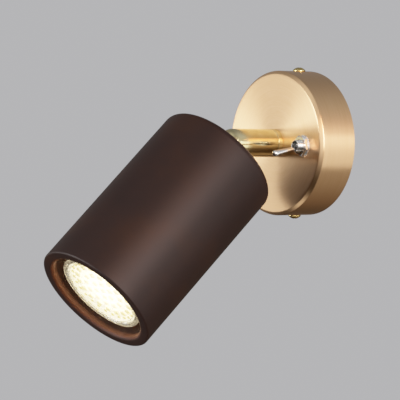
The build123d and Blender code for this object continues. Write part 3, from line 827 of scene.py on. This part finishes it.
def slotted_arm():
    """The hollow arm: a round end, a slot for the knuckle's neck, and a hole for the pivot pins."""
    bore = NIPPLE_RADIUS + SLIDING_FIT
    rim = ARM_RADIUS - SMALL_EDGE
    outline = [(bore, ARM_FOOT), (rim, ARM_FOOT)]
    outline += arc(rim, ARM_FOOT + SMALL_EDGE, SMALL_EDGE, -90, 0, steps=4)[1:]
    outline += line((ARM_RADIUS, ARM_FOOT + SMALL_EDGE), (ARM_RADIUS, PIVOT_HEIGHT), steps=12)[1:]
    outline += arc(0, PIVOT_HEIGHT, ARM_RADIUS, 0, 90, steps=24)[1:-1]
    outline += [(0, PIVOT_HEIGHT + ARM_RADIUS), (0, PIVOT_HEIGHT + ARM_CAVITY)]
    outline += arc(0, PIVOT_HEIGHT, ARM_CAVITY, 90, 0, steps=24)[1:]
    outline += [(ARM_CAVITY, NIPPLE_TOP), (bore, NIPPLE_TOP)]
    arm = turned("slotted_arm", outline, MIDDLE_TURN)
    reach = 2 * ARM_RADIUS
    cutters = [
        moved(rod("pin_hole", PIN_HOLE, -reach, reach, HOLE_TURN), turn_by(90, "Y")),
        rod("first_place", NECK_ROOM, 0, reach, HOLE_TURN),
        moved(rod("last_place", NECK_ROOM, 0, reach, HOLE_TURN), turn_by(BEND_MAX, "X")),
        slot_fan(reach),
    ]
    return cut_away(arm, [moved(cutter, shift(0, 0, PIVOT_HEIGHT)) for cutter in cutters])


place_piece(swivel_seat(), wall, "base", polished_brass_finish, "polished_brass", "swivel_seat")
place_piece(slotted_arm(), wall, "arm", polished_brass_finish, "polished_brass", "arm_tube")


# Toggle switch
def threaded_bushing():
    """The threaded bushing, and the plate of the switch's body that carries it."""
    thread_top = BUSHING_TOP - BUSHING_LEAD
    outline = [(BUSHING_BORE, BUSHING_FLOOR), (BUSHING_BORE, BUSHING_TOP - BUSHING_MOUTH_EDGE)]
    outline += [(BUSHING_BORE + BUSHING_MOUTH_EDGE, BUSHING_TOP)]
    outline += [(BUSHING_RADIUS - BUSHING_LEAD, BUSHING_TOP)]
    outline += [(BUSHING_RADIUS - BUSHING_STEP, thread_top + BUSHING_STEP)]
    outline += thread(BUSHING_RADIUS, thread_top, SWITCH_PLATE_TOP, BUSHING_PITCH)
    outline += [(BUSHING_RADIUS, BUSHING_BOTTOM), (0, BUSHING_BOTTOM), (0, BUSHING_FLOOR)]
    shape = threaded(BUSHING_RADIUS, SWITCH_PLATE_TOP, thread_top, BUSHING_PITCH)
    tube = turned("bushing_tube", outline, FINE_TURN, shape)
    thickness = SWITCH_PLATE_TOP - SWITCH_PLATE_BOTTOM
    middle = (SWITCH_PLATE_TOP + SWITCH_PLATE_BOTTOM) / 2
    plate = box_mesh("plate", (*SWITCH_PLATE_SIZE, thickness), (0, 0, middle), SMALL_EDGE)
    hole = rod("hole", BUSHING_RADIUS, *FACE_CUT, FINE_TURN)
    still = Matrix.Identity(4)
    return joined("switch_bushing_dressed", [(tube, still), (cut_away(plate, [hole]), still)])


def switch_nut():
    """The six-sided nut, with its corners eased."""
    low = CUP_DEPTH + WASHER_THICKNESS
    high = low + NUT_HEIGHT
    flat = NUT_FLATS / 2
    corner = flat / math.cos(math.radians(HEXAGON_ANGLE / 2))
    bore = BUSHING_RADIUS + SLIDING_FIT
    mouth = bore + NUT_BORE_EDGE
    outline = [(mouth, low), (flat - NUT_FACE_EDGE, low)]
    outline += line((flat, low), (corner, low + NUT_EASE), steps=6)
    outline += line((corner, high - NUT_EASE), (flat, high), steps=6)
    outline += [(flat - NUT_FACE_EDGE, high), (mouth, high)]
    outline += [(bore, high - NUT_BORE_EDGE), (bore, low + NUT_BORE_EDGE)]
    nut = turned("switch_nut_dressed", outline, NUT_SEGMENTS, six_sided(NUT_FLATS), NUT_SHARP)
    return moved(nut, turn_by(NUT_TURN, "Z"))


def toothed_washer():
    """The washer under the nut, with teeth round its rim."""
    def toothed(radius, height, turn):
        in_gap = (turn * WASHER_TEETH) % 1 > TOOTH_SHARE
        if radius < WASHER_RADIUS - TOOTH_ZONE or not in_gap:
            return radius
        return radius - TOOTH_DEPTH

    low = CUP_DEPTH
    high = low + WASHER_THICKNESS
    rim = WASHER_RADIUS - WASHER_EDGE
    bore = BUSHING_RADIUS + SLIDING_FIT
    outline = [(bore, low), (rim, low), (WASHER_RADIUS, low + WASHER_EDGE)]
    outline += [(WASHER_RADIUS, high - WASHER_EDGE), (rim, high), (bore, high)]
    segments = WASHER_TEETH * TOOTH_SEGMENTS
    return turned("switch_washer_dressed", outline, segments, toothed, WASHER_SHARP)


def bat_lever():
    """The lever: a ball, and a stem that widens to a round tip."""
    tip = LEVER_LENGTH - LEVER_TIP
    start = math.degrees(math.asin(LEVER_ROOT / LEVER_BALL))
    outline = arc(0, 0, LEVER_BALL, -90, 90 - start, steps=24)
    outline[0] = (0, -LEVER_BALL)
    outline += line((LEVER_ROOT, outline[-1][1]), (LEVER_TIP, tip), steps=16)[1:]
    outline += arc(0, tip, LEVER_TIP, 0, 90, steps=14)[1:-1]
    outline += [(0, LEVER_LENGTH)]
    return turned("bat_lever", outline, SMALL_TURN)


place_piece(threaded_bushing(), switch, "base", nickel_finish, "chrome", "switch_bushing")
place_piece(switch_nut(), switch, "base", nickel_finish, "chrome", "switch_nut")
place_piece(toothed_washer(), switch, "base", nickel_finish, "chrome", "switch_washer")
place_piece(bat_lever(), lever, "toggle", nickel_finish, "chrome", "toggle_lever")


# Head
def painted_head():
    """The head's shell: a rounded rear, a mouth with a soft edge, and a hole for the knuckle's stem."""
    rear_edge = (HEAD_RADIUS - HEAD_REAR_EDGE, HEAD_REAR + HEAD_REAR_EDGE)
    rim_edge = (HEAD_RADIUS - HEAD_RIM_EDGE, HEAD_FRONT - HEAD_RIM_EDGE)
    mouth_edge = (MOUTH_RADIUS + MOUTH_EDGE, HEAD_FRONT - MOUTH_EDGE)
    mouth_end = HEAD_FRONT - MOUTH_LENGTH
    outline = line((STEM_HOLE, HEAD_REAR), (rear_edge[0], HEAD_REAR), steps=6)
    outline += arc(*rear_edge, HEAD_REAR_EDGE, -90, 0, steps=14)[1:]
    outline += line((HEAD_RADIUS, rear_edge[1]), (HEAD_RADIUS, rim_edge[1]), steps=20)[1:]
    outline += arc(*rim_edge, HEAD_RIM_EDGE, 0, 90, steps=10)[1:]
    outline += arc(*mouth_edge, MOUTH_EDGE, 90, 180, steps=8)
    outline += [(MOUTH_RADIUS, mouth_end), (HEAD_INSIDE, mouth_end)]
    outline += [(HEAD_INSIDE, HEAD_FLOOR), (STEM_HOLE, HEAD_FLOOR)]
    return turned("painted_head", outline, LARGE_TURN)


place_piece(painted_head(), head, "head", brown_paint_finish, "brown_paint", "head_shell")


# Lamp
def lamp_body():
    """The flared body, with fine ribs round its rim and grooves in its front."""
    rim = LAMP_RADIUS
    rib_low = LAMP_RIM_LOW + RIB_START

    def ribbed(radius, height, turn):
        if radius < rim - RIB_START or height < rib_low:
            return radius
        return radius - RIB_DEPTH * (0.5 + 0.5 * math.cos(2 * math.pi * turn * RIBS))

    flare_low = LAMP_NECK_TOP + LAMP_EDGE
    outline = [(0, LAMP_NECK_TOP), (LAMP_WAIST - LAMP_EDGE, LAMP_NECK_TOP), (LAMP_WAIST, flare_low)]
    for step in range(1, FLARE_STEPS + 1):
        share = step / FLARE_STEPS
        radius = LAMP_WAIST + (rim - LAMP_EDGE - LAMP_WAIST) * share
        height = flare_low + (LAMP_RIM_LOW - flare_low) * share
        bulge = 4 * share * (1 - share) * LAMP_BULGE
        outline.append((radius + bulge / 2, height - bulge))
    outline += [(rim, LAMP_RIM_LOW), (rim, rib_low), (rim, LAMP_FRONT - LAMP_EDGE)]
    outline += arc(rim - LAMP_EDGE, LAMP_FRONT - LAMP_EDGE, LAMP_EDGE, 0, 90, steps=5)[1:]
    bottom = LAMP_FRONT - GROOVE_DEPTH
    for groove in RIM_GROOVES:
        start = rim - groove
        end = start - GROOVE_WIDTH
        outline += [(start, LAMP_FRONT), (start - GROOVE_SLOPE, bottom)]
        outline += [(end + GROOVE_SLOPE, bottom), (end, LAMP_FRONT)]
    opening = rim - RIM_WIDTH
    outline += [(opening + SMALL_EDGE, LAMP_FRONT), (opening, LAMP_FRONT - SMALL_EDGE)]
    well = BOARD_RADIUS + SLIDING_FIT
    outline += [(opening, GLASS_BACK), (well, GLASS_BACK), (well, BOARD_BACK), (0, BOARD_BACK)]
    return turned("lamp_body", outline, RIBS * RIB_SEGMENTS, ribbed)


def front_glass():
    """The front glass: stepped rings near its edge and a faint crown."""
    face = LAMP_FRONT - GLASS_DROP
    outline = [(0, GLASS_BACK), (GLASS_RADIUS - GLASS_EDGE, GLASS_BACK)]
    outline += [(GLASS_RADIUS, GLASS_BACK + GLASS_EDGE)]
    outline += [(GLASS_RADIUS, face - SMALL_EDGE), (GLASS_RADIUS - SMALL_EDGE, face)]
    bottom = face - RING_DEPTH
    for ring in range(GLASS_RINGS):
        start = GLASS_RADIUS - RING_START - RING_PITCH * ring
        end = start - RING_WIDTH
        outline += [(start, face), (start - RING_SLOPE, bottom), (end + RING_SLOPE, bottom), (end, face)]
    inner = GLASS_RADIUS - CROWN_START
    for step in range(CROWN_STEPS):
        radius = inner * (1 - step / CROWN_STEPS)
        outline.append((radius, face - CROWN_HEIGHT * (radius / inner) ** 2))
    outline += [(0, face)]
    return turned("front_glass", outline, GLASS_SEGMENTS)


def lit_board():
    """The round board behind the glass, with a raised lip."""
    lip = GLASS_BACK - LIP_GAP
    outline = [(0, BOARD_BACK), (BOARD_RADIUS, BOARD_BACK), (BOARD_RADIUS, lip)]
    outline += [(BOARD_RADIUS - LIP_TOP, lip), (BOARD_RADIUS - LIP_KNEE, BOARD_FRONT + LIP_KNEE_HEIGHT)]
    outline += [(BOARD_RADIUS - LIP_FOOT, BOARD_FRONT), (0, BOARD_FRONT)]
    return turned("lit_board", outline, FINE_TURN)


def chip_places():
    """Where the chips stand: one in the middle, rings round it, and smaller ones at the edge."""
    places = [Matrix.Identity(4)]
    for ring in range(1, CHIP_RINGS + 1):
        count = CHIPS_IN_FIRST_RING * ring
        for index in range(count):
            places.append(turn_by(360 * index / count, "Z") @ shift(CHIP_PITCH * ring, 0, 0))
    smaller = Matrix.Diagonal((EDGE_CHIP_SHARE, EDGE_CHIP_SHARE, 1, 1))
    for index in range(EDGE_CHIPS):
        around = turn_by(360 * (index + 0.5) / EDGE_CHIPS, "Z")
        places.append(around @ shift(EDGE_CHIP_RING, 0, 0) @ smaller)
    return places


def chips(name, size, low, high, edge):
    """One rounded block on every chip's place."""
    block = box_mesh("chip", (size, size, high - low), (0, 0, (low + high) / 2), edge)
    return joined(name, [(block, place) for place in chip_places()])


chip_top = BOARD_FRONT + CHIP_HEIGHT
packages = chips("chip_packages", CHIP_SIZE, BOARD_FRONT, chip_top - PHOSPHOR_PROUD, CHIP_EDGE)
phosphors = chips(
    "chip_phosphors", CHIP_SIZE - PHOSPHOR_INSET, chip_top - PHOSPHOR_HEIGHT, chip_top, PHOSPHOR_EDGE
)
place_piece(lamp_body(), head, "lamp", rim_glass_with_painted_glow_finish, "lamp_shell", "lamp_reflector")
place_piece(front_glass(), head, "lamp", front_glass_finish, "clear_glass", "lamp_glass")
place_piece(lit_board(), head, "lamp", board_finish, "white_board", "led_board")
place_piece(packages, head, "lamp", package_finish, "led_chip", "led_chips")
place_piece(phosphors, head, "lamp", phosphor_finish, "led_chip", "led_chips")


# CAD nodes that keep their shape get their materials here
NODE_FINISHES = {
    zinc_finish: [
        "wall_bracket", "holder_bracket", "arm_nipple", "nipple_nut", "friction_washer", "stop_washer",
        "stop_stud", "knuckle_washer", "knuckle_nut", "block_screw", "holder_screws", "terminal_screws",
    ],
    polished_brass_finish: ["knuckle", "pivot_pins"],
    terminal_finish: ["earth_lug", "earth_screw", "switch_terminals", "lamp_pins"],
    black_plastic_finish: ["switch_body"],
    natural_plastic_finish: ["terminal_block"],
    ceramic_finish: ["lamp_holder", "lamp_base"],
    brown_lead_finish: ["live_lead", "switched_lead", "head_leads"],
    blue_lead_finish: ["neutral_lead"],
    earth_lead_finish: ["earth_lead"],
    sheath_finish: ["arm_cable", "head_cable"],
}
for finish, names in NODE_FINISHES.items():
    for name in names:
        for node_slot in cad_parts[name].material_slots:
            node_slot.material = finish

# Studio: the floor's size in millimetres, and places in metres
FLOOR_RADIUS = 3000.0
FLOOR_THICKNESS = 20.0
FLOOR_PLACE = (0, 0, -0.6)
FLOOR_GLOW = (0.94, 0.96, 1.0, 1.0)
FLOOR_GLOW_STRENGTH = 0.11
OBJECT_MIDDLE = Vector((0, -0.08, -0.03))

# Tone curve: slope at black, level of light at its end, and shares of that level that carry a point
CURVE_SLOPE = 1.3
CURVE_WHITE = 3.0
CURVE_SHARES = (0.02, 0.05, 0.1, 0.2, 0.33, 0.5, 0.75)
COMBINED_CURVE = 3

# Lamp's own light: millimetres in front of the rim, watts and colour
LAMP_LIGHT_GAP = 0.3
LAMP_LIGHT_ENERGY = 0.085
LAMP_LIGHT_COLOUR = (1.0, 0.62, 0.3)

# Surround: the grey behind the object, and colours by how far up a direction points
BACKGROUND = (0.477, 0.477, 0.492, 1.0)
WHITE = (1.0, 1.0, 1.0)
DIM = (0.03, 0.021, 0.014)
WARM_GREY = (0.12, 0.095, 0.07)
GREY = (0.2, 0.2, 0.2)
DARK_GREY = (0.1, 0.1, 0.1)
SURROUND = [(-1.0, DIM), (-0.6, DIM), (-0.2, WARM_GREY), (0.2, GREY), (0.6, GREY), (1.0, DARK_GREY)]

# Soft glows in the surround: direction, sharpness and colour
GLOWS = [
    ((-0.79, -0.61, -0.05), 10.0, (0.8, 0.8, 0.8)),
    ((0.79, -0.61, 0.05), 13.0, (1.45, 1.45, 1.45)),
    ((0.05, -0.62, 0.78), 8.0, (0.85, 0.85, 0.85)),
    ((-0.15, -0.38, -0.91), 50.0, (1.38, 1.32, 1.22)),
    ((0.90, 0.42, 0.10), 6.0, (0.35, 0.35, 0.35)),
    ((0.40, 0.60, 0.70), 6.0, (0.25, 0.25, 0.25)),
    ((0.50, 0.60, -0.60), 8.0, (0.29, 0.265, 0.225)),
    ((-0.10, 0.61, -0.79), 12.0, (0.1, 0.07, 0.045)),
]

# Softboxes: name, direction, distance, width and height in metres, radiance and colour
SOFTBOXES = [
    ("right_softbox", (0.78, 0.62, -0.12), 1.2, 0.4, 0.85, 1.5, WHITE),
    ("right_top_softbox", (0.977, -0.02, 0.21), 1.2, 0.55, 0.55, 15.5, (1.0, 0.82, 0.77)),
    ("warm_softbox", (0.84, -0.22, 0.50), 0.5, 0.15, 0.15, 13.0, (1.0, 0.56, 0.38)),
    ("left_softbox", (-0.787, -0.615, -0.05), 1.3, 1.8, 0.2, 1.1, WHITE),
    ("front_softbox", (-0.34, -0.94, 0.0), 1.2, 0.6, 1.0, 9.0, WHITE),
]


# Floor, light and camera
def floor():
    """A plain pale floor, which shiny pieces don't mirror."""
    mesh = rod("floor", FLOOR_RADIUS, -FLOOR_THICKNESS, 0, FINE_TURN)
    plane = in_scene("floor", mesh)
    plane.location = FLOOR_PLACE
    plane.visible_glossy = False
    glow = {"Emission_Color": FLOOR_GLOW, "Emission_Strength": FLOOR_GLOW_STRENGTH}
    finish = Finish("pale_floor", srgb(226, 226, 226), 0.7, **glow)
    cloud = finish.noise(finish.place(), scale=3.0, detail=3.0, rough=0.5)
    finish.tint(cloud, (NOISE_LOW, srgb(222, 222, 222)), (NOISE_HIGH, srgb(229, 229, 229)))
    mesh.materials.append(finish.material)


def area_light(name, shape, width, height, energy, colour):
    """An area light that the camera doesn't see."""
    data = bpy.data.lights.new(name, "AREA")
    data.shape = shape
    data.size = width
    data.size_y = height
    data.energy = energy
    data.color = colour
    light = in_scene(name, data)
    light.visible_camera = False
    return light


def softbox(name, direction, distance, width, height, radiance, colour):
    """A soft rectangular light that faces the object and shows only in its gloss."""
    energy = math.pi * width * height * radiance
    light = area_light(name, "RECTANGLE", width, height, energy, colour)
    towards = Vector(direction).normalized()
    light.location = OBJECT_MIDDLE + towards * distance
    light.rotation_euler = towards.to_track_quat("Z", "Y").to_euler()
    light.visible_diffuse = False


def lamp_light():
    """The lamp's own light on the mouth's wall."""
    width = 2 * GLASS_RADIUS * MM
    light = area_light("lamp_light", "DISK", width, width, LAMP_LIGHT_ENERGY, LAMP_LIGHT_COLOUR)
    light.matrix_world = head @ shift(0, 0, LAMP_FRONT + LAMP_LIGHT_GAP) @ turn_by(180, "X")
    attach(light, "lamp")


def grey_world():
    """Even grey behind the object, and a dim surround with soft glows in some directions."""
    world = bpy.data.worlds.new("studio")
    bpy.context.scene.world = world
    world.use_nodes = True
    nodes = Nodes(world.node_tree)
    direction = nodes.node("TexCoord").outputs["Generated"]
    parts = nodes.node("SeparateXYZ", [direction])
    height = nodes.number("MULTIPLY_ADD", parts.outputs["Z"], 0.5, 0.5)
    level = nodes.ramp(height, *[((z + 1) / 2, (*colour, 1.0)) for z, colour in SURROUND])
    for towards, sharpness, colour in GLOWS:
        closeness = nodes.vector("DOT_PRODUCT", direction, Vector(towards).normalized())
        fall = nodes.number("MULTIPLY_ADD", closeness, sharpness, -sharpness)
        glow = nodes.vector("SCALE", colour, None, None, nodes.number("EXPONENT", fall))
        level = nodes.vector("ADD", level, glow)
    around = nodes.node("Background", [level, 1.0])
    behind = nodes.node("Background", [BACKGROUND, 1.0])
    camera_ray = nodes.node("LightPath").outputs["Is Camera Ray"]
    mix = nodes.node("MixShader", [camera_ray, around.outputs[0], behind.outputs[0]])
    nodes.tree.links.new(mix.outputs[0], nodes.tree.nodes["World Output"].inputs["Surface"])


def tone_curve():
    """A camera's soft shoulder, so that bright metal and the lamp's glow run towards white."""
    view = bpy.context.scene.view_settings
    view.view_transform = "Standard"
    view.use_curve_mapping = True
    mapping = view.curve_mapping
    mapping.white_level = (CURVE_WHITE,) * 3
    points = mapping.curves[COMBINED_CURVE].points
    points[1].location = (1.0, 1.0)
    for share in CURVE_SHARES:
        points.new(share, 1 - math.exp(-CURVE_SLOPE * CURVE_WHITE * share))
    mapping.update()


def photo_camera():
    """The photograph's camera."""
    azimuth = math.radians(VIEW_AZIMUTH)
    elevation = math.radians(VIEW_ELEVATION)
    roll = math.radians(VIEW_ROLL)
    along = math.cos(elevation)
    back = Vector((math.sin(azimuth) * along, -math.cos(azimuth) * along, math.sin(elevation)))
    level = Vector((math.cos(azimuth), math.sin(azimuth), 0))
    upright = back.cross(level)
    right = math.cos(roll) * level + math.sin(roll) * upright
    up = math.cos(roll) * upright - math.sin(roll) * level
    matrix = Matrix((right, up, back)).transposed()
    centre = Vector(VIEW_MIDDLE) + matrix @ Vector((-VIEW_SHIFT[0], -VIEW_SHIFT[1], VIEW_DISTANCE))
    data = bpy.data.cameras.new("photo_camera")
    data.lens = VIEW_LENS
    data.sensor_width = SENSOR
    data.clip_end = VIEW_END * MM
    camera = in_scene("photo_camera", data)
    camera.matrix_world = Matrix.Translation(centre * MM) @ matrix.to_4x4()
    bpy.context.scene.camera = camera


tone_curve()
floor()
grey_world()
for box in SOFTBOXES:
    softbox(*box)
lamp_light()
photo_camera()
